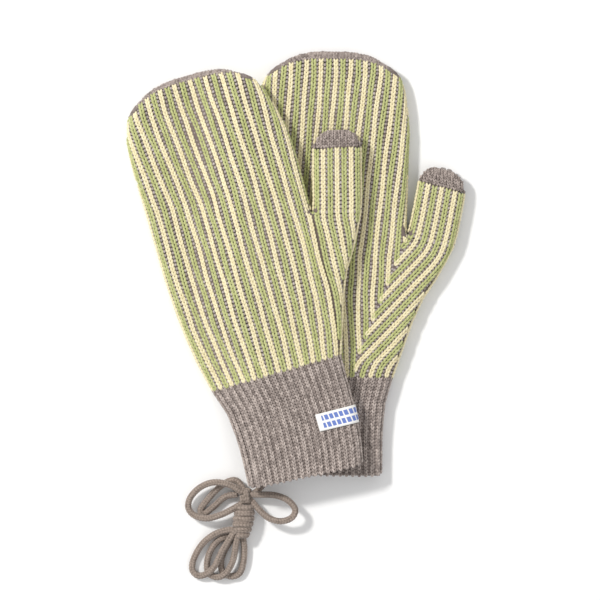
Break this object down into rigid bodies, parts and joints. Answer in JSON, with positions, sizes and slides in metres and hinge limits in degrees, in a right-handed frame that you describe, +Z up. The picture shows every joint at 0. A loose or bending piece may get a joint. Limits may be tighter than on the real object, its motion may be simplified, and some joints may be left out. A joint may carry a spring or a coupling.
{
  "type": "pair of knitted mittens",
  "caption": "Rib-knit mittens in cream and green stripes with plain cuffs, lying flat one on the other, joined by a neck cord bundled and tied in a bow.",
  "frame": {"origin": "a point on the flat underside of the right mitten's hand, on the surface the pair lies on", "axes": "+Z up from the surface, +Y towards the fingertips, +X towards the thumbs"},
  "size_m": [0.2275, 0.3545, 0.0278],
  "materials": {
    "striped_knit": "rib knit in cream and light green over heather taupe",
    "plain_knit": "heather taupe rib knit",
    "cord_yarn": "knitted taupe tube",
    "label_tape": "white woven tape"
  },
  "bodies": {
    "right_mitten": {"right_cuff": "plain_knit", "right_hand": "striped_knit", "right_crown_band": "plain_knit"},
    "right_thumb_part": {"right_thumb": "striped_knit", "right_thumb_cap": "plain_knit"},
    "left_cuff_part": {"left_cuff": "plain_knit", "label": "label_tape", "cord_left_tail": "cord_yarn", "cord_right_tail": "cord_yarn", "cord_knot": "cord_yarn", "cord_left_loop": "cord_yarn", "cord_back_loop": "cord_yarn", "cord_right_loop": "cord_yarn", "cord_wraps": "cord_yarn", "cord_hank": "cord_yarn"},
    "left_hand_part": {"left_hand": "striped_knit", "left_crown_band": "plain_knit"},
    "left_thumb_part": {"left_thumb": "striped_knit", "left_thumb_cap": "plain_knit"}
  },
  "joints": [
    {"name": "right_thumb_fold", "type": "hinge", "parent": "right_mitten", "child": "right_thumb_part", "pos_m": [0.07227, 0.02257, 0.013], "axis": [0.9659, -0.2588, 0], "range_deg": [0, 80]},
    {"name": "left_lift", "type": "slide", "parent": "right_mitten", "child": "left_cuff_part", "axis": [0, 0, 1], "range_m": [0, 0.05]},
    {"name": "left_wrist_fold", "type": "hinge", "parent": "left_cuff_part", "child": "left_hand_part", "pos_m": [-0.0149, -0.0699, 0.027], "axis": [0.9613, 0.2756, 0], "range_deg": [0, 60]},
    {"name": "left_thumb_fold", "type": "hinge", "parent": "left_hand_part", "child": "left_thumb_part", "pos_m": [0.0093, 0.03691, 0.027], "axis": [0.9994, 0.0349, 0], "range_deg": [0, 80]}
  ]
}
